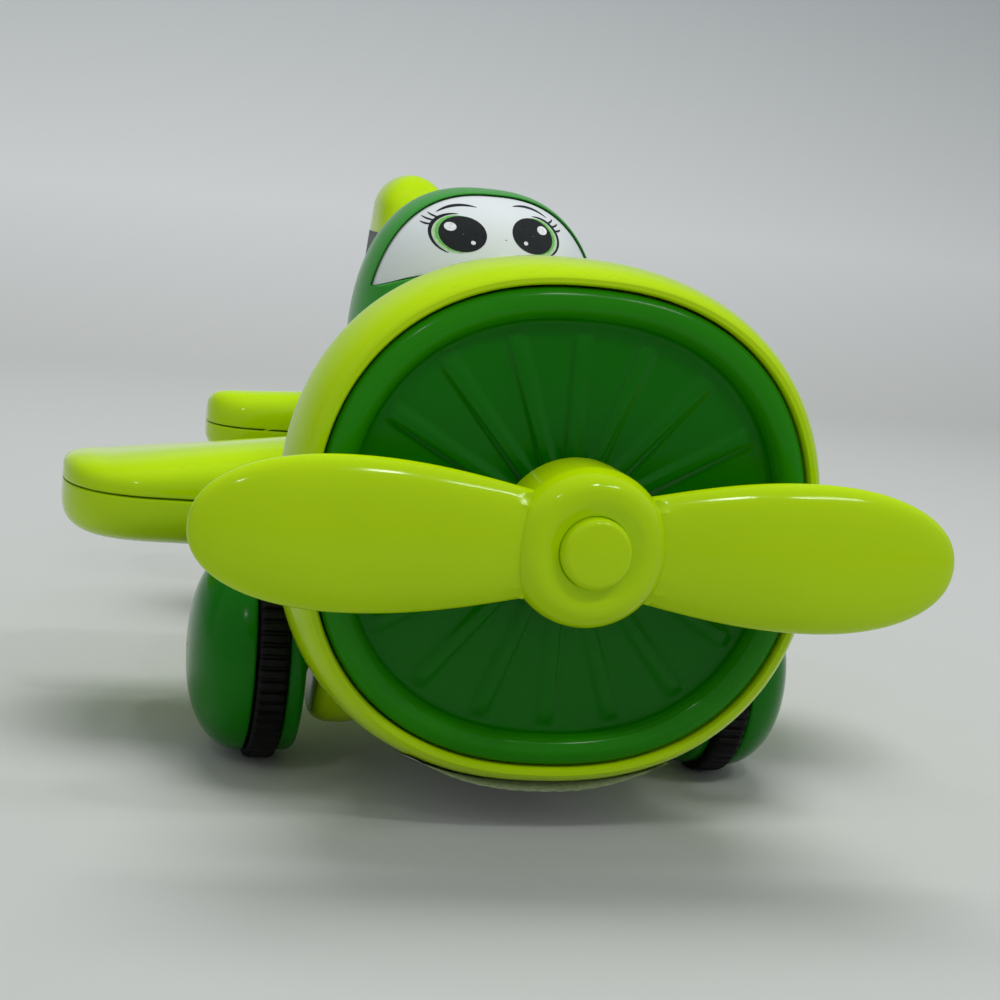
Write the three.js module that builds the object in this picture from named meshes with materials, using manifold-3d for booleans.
// A push-along toy airplane in moulded plastic, as an assembly of its separate pieces.
// Units are millimetres. It flies towards -Y, +X is its own left side, and +Z is up.
// The wheels drive a small gear train, which turns a flywheel and the propeller.
import * as THREE from "three";
import { mergeVertices } from "three/addons/utils/BufferGeometryUtils.js";
import Module from "manifold-3d";

const wasm = await Module();
wasm.setup();

// Driving dimensions. Y counts back from the plane of the engine grille, and Z up from the floor.
const GAP = 0.3; // between two pieces that touch
const WALL = 1.8; // of the moulded shells
const NOSE_Z = 46; // height of the propeller's axis
const PARTING_Z = 39; // where the upper and lower shells meet
const OVAL = 2.3; // exponent of the nose's superellipse
const WING_OVAL = 2.6;
const FIN_OVAL = 3;
const CANOPY_OVAL = 2.5;

// The engine grille: a disc with a raised rim, whose inner edge is a share of the outer one.
const GRILLE = {
  halfWidth: 36.2, halfHeight: 34.8, rim: 0.865, front: -1.2, face: 1.6, back: 4.7, bore: 4.3,
};
const RIB = { count: 18, length: 21.4, middle: 19.9, depth: 1.2, width: 2.4 };
const COWL = {
  lip: -0.8, widest: 11.5, back: 16.7, lipGap: 0.8, bulge: 40.4, rise: 38.6, drop: 39.2,
  backHalfWidth: 35.3, backRise: 35.6, backDrop: 38.9, seatStep: 4,
};
const HULL = {
  front: 17, end: 166, halfWidth: 33.5, top: 80.3, bottom: 7.2, slimming: 27, topDrop: 28, bottomRise: 30,
  taper: 1.7, capStart: 156,
};
const WING = { span: 70, middle: 68, halfChord: 20, below: 8.2, tipAbove: 4.6, growth: 0.14, round: 16 };
const STABILIZER = {
  span: 39.6, middle: 153, halfChord: 12, below: 5.4, tipAbove: 6.6, growth: 0.05, round: 10,
};
const CAMBER = 0.3; // how far a wing's thickest place lies forward
const FIN = {
  top: 94.4, base: 50, halfThickness: 6.8, flare: 0.1, front: 143, back: 160, sweep: 0.75, rake: 0.1,
  round: 7, setback: 6,
};
const CANOPY = { middle: 76, height: 62, halfWidth: 22.4, halfLength: 26, rise: 31.2, wall: 2.2 };
const PANEL = { side: 1.2, crown: 1.1, sill: 80, sillCurve: 0.0128, recess: 0.4, thickness: 1.6, back: 71 };
const FIN_DECAL = { front: 136, back: 157, bottom: 66, top: 82, thickness: 0.2 };
const LABEL = { halfWidth: 20, front: 2, back: 50, thickness: 0.25 };

const PROPELLER = {
  radius: 54.8, root: 6, halfWidth: 10.8, rootHalfWidth: 7, halfThickness: 4.3, middle: -11.8, widestAt: 33,
  closing: 2.2,
};
const HUB = {
  radius: 11.3, front: -16.4, back: -3.5, edge: 3.5, dishDepth: 0.5, dishFloor: 5.8, dishEdge: 7.2,
};
const CAP = { radius: 5, front: -18.2, seat: -14.7, edge: 1.2, crown: 0.3 };

const AXLE = { y: 39, z: 17.5, radius: 1.5, halfLength: 43.5 };
const TYRE = { radius: 17.5, bore: 12, inner: 35.2, outer: 39.8, ribs: 60, ribDepth: 0.5 };
const DOME = { base: 40.1, apex: 49.4, radius: 16.5 };
const DISC = { inner: 32.2, radius: 16.2, bossRadius: 4, bossEnd: 30.2 };
const LEG = { inner: 21, outer: 29.6, radius: 11.5, top: 36 };
const TAIL_WHEEL = { y: 137, radius: 7, halfWidth: 3, edge: 0.8, pinRadius: 1 };
const FORK = { inner: 3.5, outer: 5.9, eye: 4, bridge: 16.5, root: 30, rootHalf: 9 };

const MODULE = 1; // gear tooth size
const TEETH = { axle: 14, idler: 43, crown: 30, propeller: 8, flywheel: 8 };
const GEAR_FACE = { left: -7.6, right: -10.6 }; // the spur gears' side faces, along X
const PINION_LENGTH = 5.5;
const FLYWHEEL = { radius: 15, left: 9, right: 1, edge: 0.6 };
const SHAFT_RADIUS = 1.5;
const PRESS = 0.07; // between a shaft and the bore that it is pressed into
const BEARING_RADIUS = SHAFT_RADIUS + PRESS;
const ROUND = 20; // sides of shafts and bores
const PROPELLER_SHAFT = { front: -13, past: 2 };
const BUSH = { front: -0.4, flange: 1.2, back: 6, flangeRadius: 6, radius: 4 };

const SCREW = { shank: 1, head: 2.1, headHeight: 1.5, hole: 1.15, post: 3, sides: 12 };
const SHELL_SCREWS = [
  { x: -23, y: 62, from: 22 },
  { x: 23, y: 62, from: 22 },
  { x: 0, y: 94, from: 22 },
  { x: 0, y: 116, from: 26 },
];
const GEARBOX = { halfWidth: 13.5, wall: 1.8, bottom: 14.5, inset: 2.4, post: 2.6, gearRoom: 11.5 };
const GEARBOX_OUTLINE = [
  [12, 38], [12, 54], [17, 67], [30, 72.5], [50, 72.5], [85, 66], [85, 31], [52, 15.5], [26, 14.5],
];
const GEARBOX_SCREWS = [[19.5, 64.5], [80, 35], [80, 60.5]];
const CROSS_SHAFT = 15; // half the length of the idler's and the flywheel's shafts

const COLOURS = {
  lime: { color: 0xa5cd00, roughness: 0.25, metalness: 0 },
  green: { color: 0x236e19, roughness: 0.3, metalness: 0 },
  white: { color: 0xcdd0d7, roughness: 0.35, metalness: 0 },
  rubber: { color: 0x0c100c, roughness: 0.8, metalness: 0 },
  film: { color: 0x5a5f5f, roughness: 0.6, metalness: 0 },
  nylon: { color: 0xe6e2d4, roughness: 0.5, metalness: 0 },
  grey: { color: 0x8a8f94, roughness: 0.5, metalness: 0 },
  steel: { color: 0xb4b8bc, roughness: 0.3, metalness: 1 },
  brass: { color: 0xc8a24a, roughness: 0.35, metalness: 1 },
};

// ---- Solids ----

function solid(geometry) {
  const bare = new THREE.BufferGeometry().setAttribute("position", geometry.getAttribute("position"));
  if (geometry.index) bare.setIndex(geometry.index);
  const merged = mergeVertices(bare, 1e-4);
  const triVerts = new Uint32Array(merged.index.array);
  const vertProperties = merged.attributes.position.array;
  const made = new wasm.Manifold(new wasm.Mesh({ numProp: 3, vertProperties, triVerts }));
  if (made.volume() > 0) return made;
  return new wasm.Manifold(new wasm.Mesh({ numProp: 3, vertProperties, triVerts: triVerts.reverse() }));
}

function geometryOf(body) {
  const mesh = body.getMesh();
  const geometry = new THREE.BufferGeometry();
  geometry.setAttribute("position", new THREE.BufferAttribute(mesh.vertProperties, 3));
  geometry.setIndex(new THREE.BufferAttribute(mesh.triVerts, 1));
  return geometry;
}

const union = (first, ...others) => others.reduce((all, one) => all.add(one), first);
const cut = (first, ...others) => others.reduce((all, one) => all.subtract(one), first);

// A closed body through rings of points; every ring has the same number of points.
function loft(rings) {
  const count = rings[0].length;
  const points = rings.flat();
  const faces = [];
  for (let r = 0; r < rings.length - 1; r++)
    for (let i = 0; i < count; i++) {
      const j = (i + 1) % count;
      const [a, b, c, d] = [r * count + i, r * count + j, (r + 1) * count + i, (r + 1) * count + j];
      faces.push(a, b, d, a, d, c);
    }
  const last = (rings.length - 1) * count;
  for (let i = 1; i < count - 1; i++) {
    faces.push(0, i + 1, i);
    faces.push(last, last + i, last + i + 1);
  }
  const geometry = new THREE.BufferGeometry().setFromPoints(points);
  geometry.setIndex(faces);
  return solid(geometry);
}

const power = (value, exponent) => Math.sign(value) * Math.abs(value) ** exponent;

// The unit superellipse, as [across, up] pairs.
function oval(exponent, count) {
  return Array.from({ length: count }, (_, i) => {
    const angle = (2 * Math.PI * i) / count;
    return [power(Math.cos(angle), 2 / exponent), power(Math.sin(angle), 2 / exponent)];
  });
}

function box(x0, x1, y0, y1, z0, z1) {
  const made = new THREE.BoxGeometry(x1 - x0, y1 - y0, z1 - z0);
  made.translate((x0 + x1) / 2, (y0 + y1) / 2, (z0 + z1) / 2);
  return solid(made);
}

// Turns a geometry made about +Y so that its axis runs along X or Z.
function aim(geometry, axis) {
  if (axis === "x") geometry.rotateZ(-Math.PI / 2);
  if (axis === "z") geometry.rotateX(Math.PI / 2);
  return geometry;
}

function rod(axis, radius, from, to, across = [0, 0], sides = ROUND) {
  const made = aim(new THREE.CylinderGeometry(radius, radius, to - from, sides), axis);
  const middle = (from + to) / 2;
  if (axis === "x") made.translate(middle, across[0], across[1]);
  if (axis === "y") made.translate(across[0], middle, across[1]);
  if (axis === "z") made.translate(across[0], across[1], middle);
  return solid(made);
}

// Revolves [radius, height] pairs; the height runs along the axis.
function turned(axis, profile, sides = ROUND) {
  const points = profile.map(([radius, height]) => new THREE.Vector2(radius, height));
  return solid(aim(new THREE.LatheGeometry(points, sides), axis));
}

// Values at even steps of an arc, whose ends are in degrees. `point` takes the angle in radians.
const arc = (from, to, steps, point) =>
  Array.from({ length: steps + 1 }, (_, i) => point(((from + ((to - from) * i) / steps) * Math.PI) / 180));

// ---- Airframe shapes ----

const along = (y) => Math.max(0, (y - HULL.front) / (HULL.end - HULL.front)) ** HULL.taper;

function hullRing(y, grow, count, shrink = 1) {
  const slim = along(y);
  const halfWidth = (HULL.halfWidth - HULL.slimming * slim) * shrink + grow;
  const top = HULL.top - HULL.topDrop * slim;
  const bottom = HULL.bottom + HULL.bottomRise * slim;
  const middle = (top + bottom) / 2;
  const halfHeight = ((top - bottom) / 2) * shrink + grow;
  return oval(OVAL, count).map(([a, b]) => new THREE.Vector3(a * halfWidth, y, middle + b * halfHeight));
}

function hull(grow, count = 28) {
  const stations = [HULL.front, 35, 55, 75, 95, 115, 137, HULL.capStart];
  const rings = stations.map((y) => hullRing(y, grow, count));
  const tail = HULL.end - HULL.capStart;
  for (const angle of [35, 62, 86]) {
    const turn = (angle * Math.PI) / 180;
    const y = HULL.capStart + (tail + grow) * Math.sin(turn);
    rings.push(hullRing(y, grow * Math.cos(turn), count, Math.cos(turn)));
  }
  return loft(rings);
}

// A wing runs from tip to tip. Its chord rounds off at the tips, and its upper side thickens inwards.
function wing(size, count = 18) {
  const rings = [];
  const outwards = [0, 0.55, 0.83, 0.95, 0.996].map((s) => size.span - size.round * (1 - s));
  const stations = [...outwards.map((x) => -x).reverse(), 0, ...outwards];
  for (const x of stations) {
    const past = Math.max(0, (Math.abs(x) - size.span + size.round) / size.round);
    const chord = size.halfChord * (1 - past ** 2.4) ** (1 / 2.4);
    const fullness = (1 - past ** 5) ** (1 / 5);
    const above = size.tipAbove + size.growth * Math.max(0, size.span - 7 - Math.abs(x));
    rings.push(
      oval(WING_OVAL, count).map(([a, b]) => {
        const lean = 1 - CAMBER * a * (chord / size.halfChord);
        const height = b * lean * fullness * (b > 0 ? above : size.below);
        return new THREE.Vector3(x, size.middle + a * chord, PARTING_Z + height);
      }),
    );
  }
  return loft(rings);
}

function hollowOf(size) {
  const reach = size.span - 6;
  const half = size.halfChord - 5;
  const floor = PARTING_Z - size.below + 3;
  return box(-reach, reach, size.middle - half, size.middle + half, floor, PARTING_Z + 2.5);
}

function fin() {
  const rings = [];
  const height = FIN.top - FIN.base;
  for (const share of [0, 0.5, 0.84, 0.91, 0.96, 0.99, 0.999]) {
    const z = FIN.base + height * share;
    const below = FIN.top - z;
    const front = FIN.front - FIN.sweep * below;
    const back = FIN.back + FIN.rake * below;
    const closing = Math.max(0, 1 - below / FIN.round);
    const fullness = Math.sqrt(1 - closing ** 2);
    const halfChord = (back - front) / 2 - FIN.setback * (1 - fullness);
    const halfThickness = (FIN.halfThickness + FIN.flare * below) * fullness;
    const middle = (front + back) / 2;
    rings.push(oval(FIN_OVAL, 16).map(([a, b]) =>
      new THREE.Vector3(a * halfThickness, middle + b * halfChord, z)));
  }
  return loft(rings);
}

// The canopy's outer surface, or one that lies inside it by an inset.
function canopyDome(inset, count = 26) {
  const rings = [];
  for (const tilt of [-10, 8, 24, 38, 52, 66, 78, 88]) {
    const angle = (tilt * Math.PI) / 180;
    const z = CANOPY.height + (CANOPY.rise - inset) * power(Math.sin(angle), 2 / CANOPY_OVAL);
    const share = power(Math.cos(angle), 2 / CANOPY_OVAL);
    const halfWidth = (CANOPY.halfWidth - inset) * share;
    const halfLength = (CANOPY.halfLength - inset) * share;
    rings.push(oval(2, count).map(([a, b]) =>
      new THREE.Vector3(a * halfWidth, CANOPY.middle + b * halfLength, z)));
  }
  return loft(rings);
}

// The windscreen's outline seen from the front, as a prism.
function panelPrism(inset) {
  const halfWidth = CANOPY.halfWidth - PANEL.side - inset;
  const rise = CANOPY.rise - PANEL.crown - inset;
  const sill = (x) => PANEL.sill + inset - PANEL.sillCurve * x * x;
  const archAt = (turn) => [
    halfWidth * power(Math.cos(turn), 2 / CANOPY_OVAL),
    CANOPY.height + rise * power(Math.sin(turn), 2 / CANOPY_OVAL),
  ];
  const arch = arc(15, 165, 24, archAt).filter(([x, z]) => z > sill(x) + 0.5);
  const reach = arch[0][0];
  const edge = Array.from({ length: 9 }, (_, i) => -reach + (2 * reach * i) / 8).map((x) => [x, sill(x)]);
  const shape = new THREE.Shape([...arch, ...edge].map(([x, z]) => new THREE.Vector2(x, z)));
  const made = new THREE.ExtrudeGeometry(shape, { depth: 40, bevelEnabled: false });
  made.rotateX(Math.PI / 2); // the shape's second axis becomes Z, and its depth runs towards -Y
  made.translate(0, PANEL.back - inset, 0);
  return solid(made);
}

// The lower surface of the cowl and the belly at one point.
function underside(x, y) {
  const arch = (halfWidth, drop) => drop * (1 - (Math.abs(x) / halfWidth) ** OVAL) ** (1 / OVAL);
  const slim = along(y);
  const keel = HULL.bottom + HULL.bottomRise * slim;
  const middle = (HULL.top - HULL.topDrop * slim + keel) / 2;
  const belly = middle - arch(HULL.halfWidth - HULL.slimming * slim, middle - keel);
  if (y > COWL.back) return belly;
  const [halfWidth, , drop] = cowlSection(y);
  return Math.min(belly, NOSE_Z - arch(halfWidth, drop));
}

// Half-width, rise above the nose axis and drop below it of the cowl's outside, at a place along Y.
function cowlSection(y) {
  const lip = [GRILLE.halfWidth, GRILLE.halfHeight, GRILLE.halfHeight].map((size) => size + COWL.lipGap);
  const widest = [COWL.bulge, COWL.rise, COWL.drop];
  const back = [COWL.backHalfWidth, COWL.backRise, COWL.backDrop];
  const [end, reach] = y <= COWL.widest ? [lip, COWL.widest - COWL.lip] : [back, COWL.back - COWL.widest];
  const past = Math.min(1, Math.abs(y - COWL.widest) / reach);
  const shrink = 1 - Math.sqrt(1 - 0.98 * past ** 2); // just short of a full quarter round
  return widest.map((size, i) => size + (end[i] - size) * shrink);
}

function cowl() {
  const count = 40;
  const ringAt = (y, [width, rise, drop]) =>
    oval(OVAL, count).map(([a, b]) => new THREE.Vector3(a * width, y, NOSE_Z + b * (b > 0 ? rise : drop)));
  const front = arc(0, 90, 4, (turn) => COWL.widest - (COWL.widest - COWL.lip) * Math.cos(turn));
  const stations = [...front, 13.5, 15.2, COWL.back];
  const outside = loft(stations.map((y) => ringAt(y, cowlSection(y))));
  const boreAt = (y, inset) => {
    const halfHeight = GRILLE.halfHeight + GAP - inset;
    return ringAt(y, [GRILLE.halfWidth + GAP - inset, halfHeight, halfHeight]);
  };
  const seat = loft([boreAt(COWL.lip - 1, 0), boreAt(GRILLE.back + GAP, 0)]);
  const throat = loft([boreAt(GRILLE.back, COWL.seatStep), boreAt(COWL.back + 1, COWL.seatStep)]);
  return cut(outside, seat, throat);
}

function grille() {
  const count = 40;
  const ringAt = (share, y) => oval(OVAL, count).map(([a, b]) =>
    new THREE.Vector3(a * GRILLE.halfWidth * share, y, NOSE_Z + b * GRILLE.halfHeight * share));
  const disc = loft([
    ringAt(1, GRILLE.back), ringAt(1, 0.2), ringAt(0.975, -0.8), ringAt(0.94, GRILLE.front),
    ringAt(0.9, -0.8), ringAt(GRILLE.rim, 0.6), ringAt(GRILLE.rim - 0.01, GRILLE.face),
    ringAt(0.3, GRILLE.face),
  ]);
  const ribs = Array.from({ length: RIB.count }, (_, i) => {
    const rib = new THREE.BoxGeometry(RIB.length, RIB.depth, RIB.width);
    rib.translate(RIB.middle, GRILLE.face - 0.1, 0);
    rib.rotateY((2 * Math.PI * (i + 0.5)) / RIB.count);
    rib.translate(0, 0, NOSE_Z);
    return solid(rib);
  });
  const bore = rod("y", GRILLE.bore, -5, 8, [0, NOSE_Z]);
  return cut(union(disc, ...ribs), bore);
}

// ---- Shells ----

const above = box(-90, 90, -30, 180, PARTING_Z + GAP / 2, 120);
const below = box(-90, 90, -30, 180, -5, PARTING_Z - GAP / 2);

const hullInside = () => {
  const stations = [HULL.front - 1, 45, 75, 105, 145];
  return loft(stations.map((y) => hullRing(y, -WALL, 18)));
};

// A landing-gear leg: a rounded lobe that holds the front axle on one side.
function leg(side) {
  const [near, far] = side > 0 ? [LEG.inner, LEG.outer] : [-LEG.outer, -LEG.inner];
  const lobe = rod("x", LEG.radius, near, far, [AXLE.y, AXLE.z], 28);
  const strut = box(near, far, AXLE.y - LEG.radius * 0.99, AXLE.y + LEG.radius * 0.99, AXLE.z, LEG.top);
  return union(lobe, strut);
}

// The tail wheel's fork: two tapered arms that join above the wheel.
function tailFork() {
  const place = [TAIL_WHEEL.y, TAIL_WHEEL.radius];
  const rootAt = (near, far) =>
    box(near, far, TAIL_WHEEL.y - FORK.rootHalf, TAIL_WHEEL.y + FORK.rootHalf, FORK.root - 2, FORK.root);
  const arms = [[FORK.inner, FORK.outer], [-FORK.outer, -FORK.inner]].map(([near, far]) =>
    wasm.Manifold.hull([rod("x", FORK.eye, near, far, place, 16), rootAt(near, far)]));
  const whole = wasm.Manifold.hull([...arms]);
  const gap = box(-FORK.inner, FORK.inner, TAIL_WHEEL.y - 20, TAIL_WHEEL.y + 20, 0, FORK.bridge);
  return cut(whole, gap);
}

const screwPost = (place) => rod("z", SCREW.post, place.from - 8, 70, [place.x, place.y], SCREW.sides);
const screwHole = (place) => rod("z", SCREW.hole, 5, PARTING_Z + 10, [place.x, place.y], SCREW.sides);
const screwWell = (place) => rod("z", SCREW.head + GAP, -5, place.from, [place.x, place.y], SCREW.sides);

function shellBlank() {
  const outside = hull(0);
  const posts = SHELL_SCREWS.map(screwPost).map((post) => post.intersect(outside));
  const winged = union(cut(outside, hullInside()), wing(WING), wing(STABILIZER));
  return union(cut(winged, hullInside(), hollowOf(WING), hollowOf(STABILIZER)), ...posts);
}

const shell = shellBlank();
const screwHoles = SHELL_SCREWS.map(screwHole);

function upperShell() {
  return union(cut(shell.intersect(above), ...screwHoles), cut(fin(), hull(-1)));
}

function lowerShell() {
  const bare = shell.intersect(below);
  const legs = [-1, 1].map((side) => cut(leg(side), hullInside()));
  const fork = cut(tailFork(), hull(-1));
  const axleHole = rod("x", BEARING_RADIUS, -60, 60, [AXLE.y, AXLE.z]);
  const pinHole = rod("x", TAIL_WHEEL.pinRadius + PRESS, -8, 8, [TAIL_WHEEL.y, TAIL_WHEEL.radius], 16);
  const relief = rod("x", (MODULE * TEETH.axle) / 2 + 1.4, GEAR_FACE.right - 0.6, GEAR_FACE.left + 0.6,
    [AXLE.y, AXLE.z]); // room under the axle gear
  const wells = SHELL_SCREWS.map(screwWell);
  return cut(union(bare, ...legs, fork), ...screwHoles, ...wells, axleHole, pinHole, relief);
}

function canopyFrame() {
  const dome = cut(canopyDome(0), canopyDome(CANOPY.wall));
  return cut(dome, hull(GAP), panelPrism(0));
}

function windscreen() {
  const skin = cut(canopyDome(PANEL.recess), canopyDome(PANEL.recess + PANEL.thickness));
  return skin.intersect(panelPrism(GAP));
}

// A printed strip that follows the fin's flank.
function finDecal(side) {
  const heights = [FIN_DECAL.bottom, (FIN_DECAL.bottom + FIN_DECAL.top) / 2, FIN_DECAL.top];
  const flankAt = (y, z) => {
    const below = FIN.top - z;
    const front = FIN.front - FIN.sweep * below;
    const back = FIN.back + FIN.rake * below;
    const share = Math.abs(2 * y - front - back) / (back - front);
    return (FIN.halfThickness + FIN.flare * below) * (1 - share ** FIN_OVAL) ** (1 / FIN_OVAL);
  };
  const rings = Array.from({ length: 13 }, (_, i) => {
    const y = FIN_DECAL.front + ((FIN_DECAL.back - FIN_DECAL.front) * i) / 12;
    const at = (z, lift) => new THREE.Vector3(side * (flankAt(y, z) + lift), y, z);
    const inner = heights.map((z) => at(z, GAP));
    const outer = heights.map((z) => at(z, GAP + FIN_DECAL.thickness));
    return [...inner, ...outer.reverse()];
  });
  return loft(rings);
}

function bellyLabel() {
  const columns = Array.from({ length: 9 }, (_, i) => LABEL.halfWidth * (i / 4 - 1));
  const rings = [LABEL.front, 5, 8, COWL.widest, 13.5, 15.2, COWL.back, 17.2, 34, LABEL.back].map((y) => {
    const upper = columns.map((x) => new THREE.Vector3(x, y, underside(x, y) - GAP));
    const lower = columns.map((x) => new THREE.Vector3(x, y, underside(x, y) - GAP - LABEL.thickness));
    return [...upper, ...lower.reverse()];
  });
  return loft(rings);
}

// ---- Propeller ----

function blade(side) {
  const count = 18;
  const rings = [];
  for (const share of [0, 0.2, 0.4, 0.6, 0.75, 0.87, 0.95, 0.99, 0.999]) {
    const r = PROPELLER.root + (PROPELLER.radius - PROPELLER.root) * share;
    const inner = Math.min(1, (r - PROPELLER.root) / (PROPELLER.widestAt - PROPELLER.root));
    const outer = Math.max(0, (r - PROPELLER.widestAt) / (PROPELLER.radius - PROPELLER.widestAt));
    const swell = PROPELLER.rootHalfWidth
      + (PROPELLER.halfWidth - PROPELLER.rootHalfWidth) * Math.sin((inner * Math.PI) / 2);
    const closing = (1 - outer ** PROPELLER.closing) ** (1 / PROPELLER.closing);
    rings.push(oval(2, count).map(([a, b]) => new THREE.Vector3(
      side * r,
      PROPELLER.middle + b * PROPELLER.halfThickness * closing,
      NOSE_Z + a * swell * closing,
    )));
  }
  return loft(rings);
}

function propeller() {
  const { radius, front, back, edge, dishDepth, dishFloor, dishEdge } = HUB;
  const rounded = arc(0, 90, 4, (turn) => [radius - edge + edge * Math.sin(turn),
    front + edge - edge * Math.cos(turn)]);
  const floor = front + dishDepth;
  const dish = [[0, floor], [dishFloor, floor], [dishEdge, front]];
  const hub = turned("y", [...dish, ...rounded, [radius, back], [0, back]], 36);
  const capSeat = rod("y", CAP.radius + GAP, front - 5, CAP.seat - GAP, [0, 0]);
  const whole = union(hub.translate([0, 0, NOSE_Z]), blade(-1), blade(1));
  const shaftHole = rod("y", BEARING_RADIUS, PROPELLER_SHAFT.front - GAP, 0, [0, NOSE_Z]);
  return cut(whole, capSeat.translate([0, 0, NOSE_Z]), shaftHole);
}

function spinnerCap() {
  const { radius, front, seat, edge, crown } = CAP;
  const back = seat - 2 * GAP;
  const rounded = arc(0, 90, 4, (turn) => [radius - edge + edge * Math.sin(turn),
    front + crown + edge - edge * Math.cos(turn)]);
  return turned("y", [[0, front], ...rounded, [radius, back], [0, back]], 28).translate([0, 0, NOSE_Z]);
}

// ---- Wheels ----

function tyre(side) {
  const shape = new THREE.Shape();
  const step = (2 * Math.PI) / TYRE.ribs;
  const flat = TYRE.radius / Math.cos(0.28 * step); // so that each rib's flat top lies at the full radius
  for (let i = 0; i < TYRE.ribs; i++)
    for (const [turn, radius] of [[-0.28, flat], [0.28, flat], [0.4, 0], [0.6, 0]]) {
      const angle = (i + turn) * step;
      const r = radius || TYRE.radius - TYRE.ribDepth;
      if (i === 0 && turn === -0.28) shape.moveTo(r * Math.cos(angle), r * Math.sin(angle));
      else shape.lineTo(r * Math.cos(angle), r * Math.sin(angle));
    }
  shape.holes.push(new THREE.Path().absarc(0, 0, TYRE.bore, 0, 2 * Math.PI, true));
  const made = new THREE.ExtrudeGeometry(shape, {
    depth: TYRE.outer - TYRE.inner, bevelEnabled: false, curveSegments: 12,
  });
  made.rotateY(Math.PI / 2);
  made.translate(side > 0 ? TYRE.inner : -TYRE.outer, AXLE.y, AXLE.z);
  return solid(made);
}

// A wheel piece is turned about X, mirrored for the right side, and put on the axle.
function wheelPiece(side, profile, sides) {
  const made = turned("x", profile, sides);
  return (side > 0 ? made : made.mirror([1, 0, 0])).translate([0, AXLE.y, AXLE.z]);
}

function wheelDome(side) {
  const depth = DOME.apex - DOME.base;
  const skin = arc(0, 90, 7, (turn) => [DOME.radius * power(Math.cos(turn), 0.8),
    DOME.base + depth * power(Math.sin(turn), 0.95)]);
  const blind = AXLE.halfLength + GAP;
  const inside = [[0, blind], [BEARING_RADIUS, blind], [BEARING_RADIUS, DOME.base]];
  return wheelPiece(side, [...inside, ...skin.slice(0, -1), [0, DOME.apex]], 32);
}

function wheelDisc(side) {
  const rim = TYRE.inner - GAP;
  return wheelPiece(side, [
    [BEARING_RADIUS, DISC.bossEnd], [DISC.bossRadius, DISC.bossEnd], [DISC.bossRadius, DISC.inner],
    [DISC.radius - 1, DISC.inner], [DISC.radius, DISC.inner + 1], [DISC.radius, rim],
    [TYRE.bore - GAP, rim], [TYRE.bore - GAP, TYRE.outer], [BEARING_RADIUS, TYRE.outer],
    [BEARING_RADIUS, DISC.bossEnd],
  ], 28);
}

// ---- Gears ----

function gearShape(teeth, bore) {
  const shape = new THREE.Shape();
  const pitch = (MODULE * teeth) / 2;
  const root = pitch - 1.15 * MODULE;
  const tip = pitch + 0.8 * MODULE;
  for (let i = 0; i < teeth; i++)
    for (const [half, radius] of [[-0.9, root], [-0.32, tip], [0.32, tip], [0.9, root]]) {
      const angle = (2 * Math.PI * i) / teeth + half / radius;
      if (i === 0 && half === -0.9) shape.moveTo(radius * Math.cos(angle), radius * Math.sin(angle));
      else shape.lineTo(radius * Math.cos(angle), radius * Math.sin(angle));
    }
  shape.holes.push(new THREE.Path().absarc(0, 0, bore, 0, 2 * Math.PI, true));
  return shape;
}

// The turn that puts the teeth of a second gear between those of a first one. Turns count about +X from
// straight up, and `direction` is where the second gear's centre lies from the first one's.
function meshTurn(firstTeeth, firstTurn, teeth, direction) {
  const phase = (firstTeeth * (direction - firstTurn)) / (2 * Math.PI);
  return direction + Math.PI - ((2 * Math.PI) / teeth) * (0.5 - phase);
}

// A spur gear whose axis runs along X, with its first tooth turned from straight up.
function gear(teeth, y, z, turn) {
  const made = new THREE.ExtrudeGeometry(gearShape(teeth, BEARING_RADIUS), {
    depth: GEAR_FACE.left - GEAR_FACE.right, bevelEnabled: false, curveSegments: 12,
  });
  made.rotateZ(Math.PI);
  made.rotateY(Math.PI / 2);
  made.rotateX(turn);
  made.translate(GEAR_FACE.right, y, z);
  return solid(made);
}

const IDLER_TURN = meshTurn(TEETH.axle, 0, TEETH.idler, 0);
const FLYWHEEL_TURN = meshTurn(TEETH.idler, IDLER_TURN, TEETH.flywheel, -Math.PI / 2);
const IDLER_Z = AXLE.z + (MODULE * (TEETH.axle + TEETH.idler)) / 2;
const FLYWHEEL_Y = AXLE.y + (MODULE * (TEETH.idler + TEETH.flywheel)) / 2;
const CROWN_RADIUS = (MODULE * TEETH.crown) / 2;
const PINION_Y = AXLE.y - CROWN_RADIUS - 2.5;
const CROWN_FACE = -(MODULE * TEETH.propeller) / 2 - 1.25;

function crownTooth(number) {
  const shape = new THREE.Shape([[-0.85, -0.5], [0.85, -0.5], [0.35, 2.1], [-0.35, 2.1]]
    .map(([u, v]) => new THREE.Vector2(u, v)));
  const made = new THREE.ExtrudeGeometry(shape, { depth: 3.2, bevelEnabled: false });
  made.translate(0, 0, CROWN_RADIUS - 1.6);
  made.rotateZ(-Math.PI / 2); // the tooth's height runs along +X, and its length along +Z
  made.rotateX((2 * Math.PI * number) / TEETH.crown);
  made.translate(CROWN_FACE, AXLE.y, IDLER_Z);
  return solid(made);
}

// The idler carries spur teeth for the axle and the flywheel, and a crown of side teeth for the propeller.
function idlerGear() {
  const spur = gear(TEETH.idler, AXLE.y, IDLER_Z, IDLER_TURN);
  const plate = rod("x", CROWN_RADIUS + 1.9, GEAR_FACE.left - 0.5, CROWN_FACE, [AXLE.y, IDLER_Z], 30);
  const boss = rod("x", 4, CROWN_FACE - 1, 2, [AXLE.y, IDLER_Z]);
  const teeth = Array.from({ length: TEETH.crown }, (_, i) => crownTooth(i));
  const bore = rod("x", BEARING_RADIUS, -30, 30, [AXLE.y, IDLER_Z]);
  return cut(union(spur, plate, boss, ...teeth), bore);
}

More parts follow.
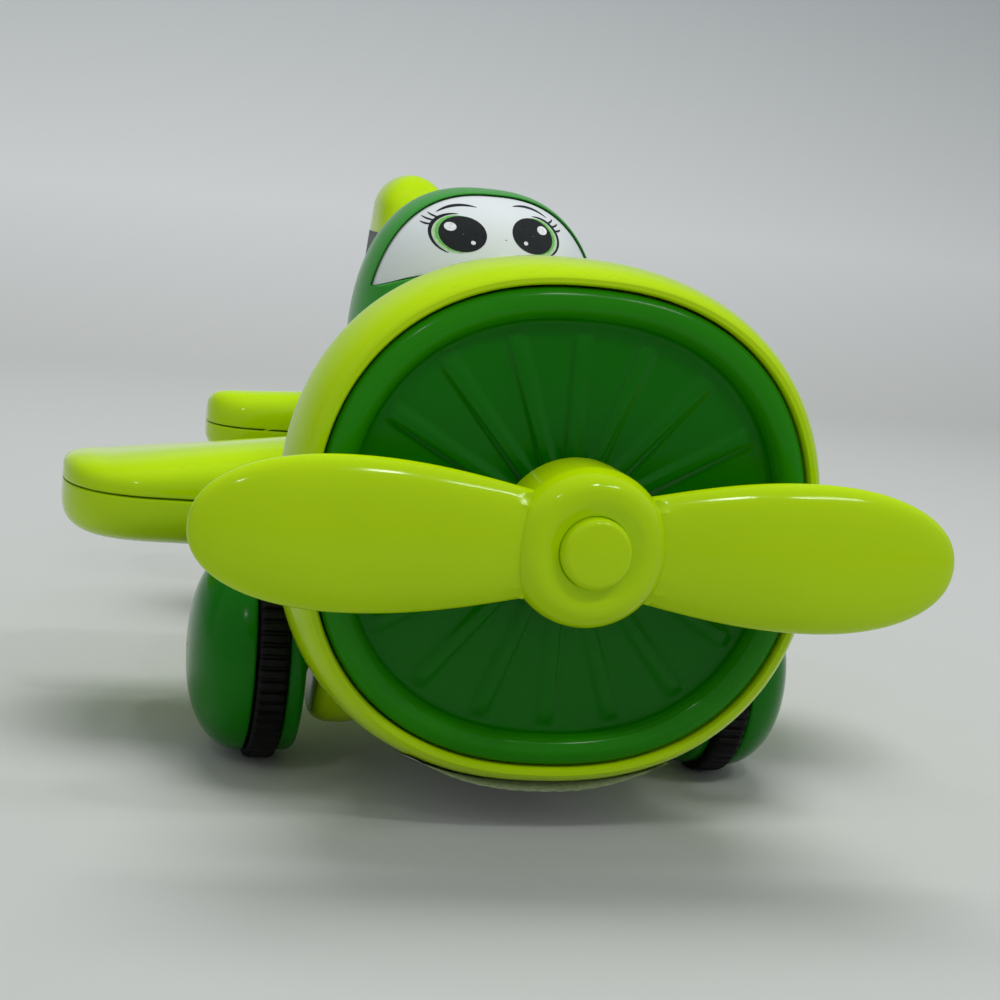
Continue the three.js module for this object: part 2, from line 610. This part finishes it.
function propellerPinion() {
  const made = new THREE.ExtrudeGeometry(gearShape(TEETH.propeller, BEARING_RADIUS), {
    depth: PINION_LENGTH, bevelEnabled: false, curveSegments: 12,
  });
  made.rotateX(-Math.PI / 2);
  made.translate(0, PINION_Y, NOSE_Z);
  return solid(made);
}

// ---- Gearbox ----

function inset(outline, by) {
  const middle = outline.reduce(([y, z], [v, w]) => [y + v / outline.length, z + w / outline.length], [0, 0]);
  const reach = 28;
  return outline.map(([y, z]) => [y + ((middle[0] - y) * by) / reach, z + ((middle[1] - z) * by) / reach]);
}

function slab(outline, x0, x1) {
  const shape = new THREE.Shape(outline.map(([y, z]) => new THREE.Vector2(-z, y)));
  const made = new THREE.ExtrudeGeometry(shape, { depth: x1 - x0, bevelEnabled: false });
  made.rotateY(Math.PI / 2);
  made.translate(x0, 0, 0);
  return solid(made);
}

function gearboxHalf(side) {
  const spanX = (near, far) => (side > 0 ? [near, far] : [-far, -near]);
  const outside = slab(GEARBOX_OUTLINE, ...spanX(GAP / 2, GEARBOX.halfWidth));
  const inside = slab(inset(GEARBOX_OUTLINE, GEARBOX.inset), ...spanX(-1, GEARBOX.halfWidth - GEARBOX.wall));
  const open = box(...spanX(-1, GEARBOX.halfWidth - GEARBOX.wall), AXLE.y - GEARBOX.gearRoom,
    AXLE.y + GEARBOX.gearRoom, 0, GEARBOX.bottom + 5);
  const posts = GEARBOX_SCREWS.map((place) =>
    rod("x", GEARBOX.post, ...spanX(GAP / 2, GEARBOX.halfWidth), place, SCREW.sides));
  const holes = GEARBOX_SCREWS.map((place) => rod("x", SCREW.hole, -30, 30, place, SCREW.sides));
  const bearings = [[AXLE.y, AXLE.z], [AXLE.y, IDLER_Z], [FLYWHEEL_Y, NOSE_Z]].map((place) =>
    rod("x", BEARING_RADIUS, -30, 30, place));
  const shaftWay = rod("y", BEARING_RADIUS, 5, AXLE.y, [0, NOSE_Z]);
  const shape = union(cut(outside, inside, open), ...posts);
  return cut(shape, ...holes, ...bearings, shaftWay);
}

// ---- Fasteners ----

// A pan-head screw along +Z from the origin, with a cross slot in its head.
function screw(length) {
  const head = rod("z", SCREW.head, -SCREW.headHeight, 0, [0, 0], SCREW.sides);
  const shank = rod("z", SCREW.shank, -0.5, length, [0, 0], SCREW.sides);
  const slots = [box(-1.3, 1.3, -0.25, 0.25, -5, -0.7), box(-0.25, 0.25, -1.3, 1.3, -5, -0.7)];
  return cut(union(head, shank), ...slots);
}

// ---- Assembly ----

const plane = new THREE.Group();

function add(name, finish, body, parent = plane) {
  const mesh = new THREE.Mesh(geometryOf(body), new THREE.MeshStandardMaterial(COLOURS[finish]));
  mesh.name = name;
  parent.add(mesh);
}

add("upper_shell", "lime", upperShell());
add("lower_shell", "lime", lowerShell());
add("nose_cowl", "lime", cowl());
add("engine_grille", "green", grille());
add("canopy_frame", "green", canopyFrame());
add("windscreen_panel", "white", windscreen());
add("left_fin_decal", "film", finDecal(1));
add("right_fin_decal", "film", finDecal(-1));
add("belly_label", "white", bellyLabel());

add("propeller", "lime", propeller());
add("spinner_cap", "lime", spinnerCap());
const shaftBack = PINION_Y + PINION_LENGTH + PROPELLER_SHAFT.past;
add("propeller_shaft", "steel", rod("y", SHAFT_RADIUS, PROPELLER_SHAFT.front, shaftBack, [0, NOSE_Z]));
add("propeller_pinion", "nylon", propellerPinion());
add("propeller_bush", "brass", turned("y", [
  [BEARING_RADIUS, BUSH.front], [BUSH.flangeRadius, BUSH.front], [BUSH.flangeRadius, BUSH.flange],
  [BUSH.radius, BUSH.flange], [BUSH.radius, BUSH.back], [BEARING_RADIUS, BUSH.back],
  [BEARING_RADIUS, BUSH.front],
]).translate([0, 0, NOSE_Z]));

add("front_axle", "steel", rod("x", AXLE.radius, -AXLE.halfLength, AXLE.halfLength, [AXLE.y, AXLE.z]));
add("axle_gear", "nylon", gear(TEETH.axle, AXLE.y, AXLE.z, 0));
for (const [name, side] of [["left", 1], ["right", -1]]) {
  add(`${name}_tyre`, "rubber", tyre(side));
  add(`${name}_wheel_dome`, "green", wheelDome(side));
  add(`${name}_wheel_disc`, "green", wheelDisc(side));
}

add("idler_shaft", "steel", rod("x", SHAFT_RADIUS, -CROSS_SHAFT, CROSS_SHAFT, [AXLE.y, IDLER_Z]));
add("idler_gear", "nylon", idlerGear());
add("flywheel_shaft", "steel", rod("x", SHAFT_RADIUS, -CROSS_SHAFT, CROSS_SHAFT, [FLYWHEEL_Y, NOSE_Z]));
add("flywheel_pinion", "nylon", gear(TEETH.flywheel, FLYWHEEL_Y, NOSE_Z, FLYWHEEL_TURN));
add("flywheel", "steel", turned("x", [
  [BEARING_RADIUS, FLYWHEEL.right], [FLYWHEEL.radius - FLYWHEEL.edge, FLYWHEEL.right],
  [FLYWHEEL.radius, FLYWHEEL.right + FLYWHEEL.edge], [FLYWHEEL.radius, FLYWHEEL.left - FLYWHEEL.edge],
  [FLYWHEEL.radius - FLYWHEEL.edge, FLYWHEEL.left], [BEARING_RADIUS, FLYWHEEL.left],
  [BEARING_RADIUS, FLYWHEEL.right],
], 30).translate([0, FLYWHEEL_Y, NOSE_Z]));

add("gearbox_left", "grey", gearboxHalf(1));
add("gearbox_right", "grey", gearboxHalf(-1));
GEARBOX_SCREWS.forEach(([y, z], i) => {
  const made = new THREE.Matrix4().makeRotationY(-Math.PI / 2);
  made.setPosition(GEARBOX.halfWidth + GAP, y, z);
  add(`gearbox_screw_${i + 1}`, "steel", screw(24).transform(made.elements));
});
SHELL_SCREWS.forEach(({ x, y, from }, i) => {
  add(`shell_screw_${i + 1}`, "steel", screw(PARTING_Z + 8 - from).translate([x, y, from - GAP]));
});

const rollerBore = TAIL_WHEEL.pinRadius + PRESS;
const rollerEdge = TAIL_WHEEL.radius - TAIL_WHEEL.edge;
const rollerFlat = TAIL_WHEEL.halfWidth - TAIL_WHEEL.edge;
add("tail_wheel", "green", turned("x", [
  [rollerBore, -TAIL_WHEEL.halfWidth], [rollerEdge, -TAIL_WHEEL.halfWidth], [TAIL_WHEEL.radius, -rollerFlat],
  [TAIL_WHEEL.radius, rollerFlat], [rollerEdge, TAIL_WHEEL.halfWidth], [rollerBore, TAIL_WHEEL.halfWidth],
  [rollerBore, -TAIL_WHEEL.halfWidth],
], 28).translate([0, TAIL_WHEEL.y, TAIL_WHEEL.radius]));
add("tail_wheel_pin", "steel",
  rod("x", TAIL_WHEEL.pinRadius, -FORK.outer, FORK.outer, [TAIL_WHEEL.y, TAIL_WHEEL.radius], 16));

// The part's origin is on the floor under the middle of the whole airplane.
plane.position.y = -(CAP.front + HULL.end) / 2;
const toy = new THREE.Group();
toy.add(plane);

export default toy;
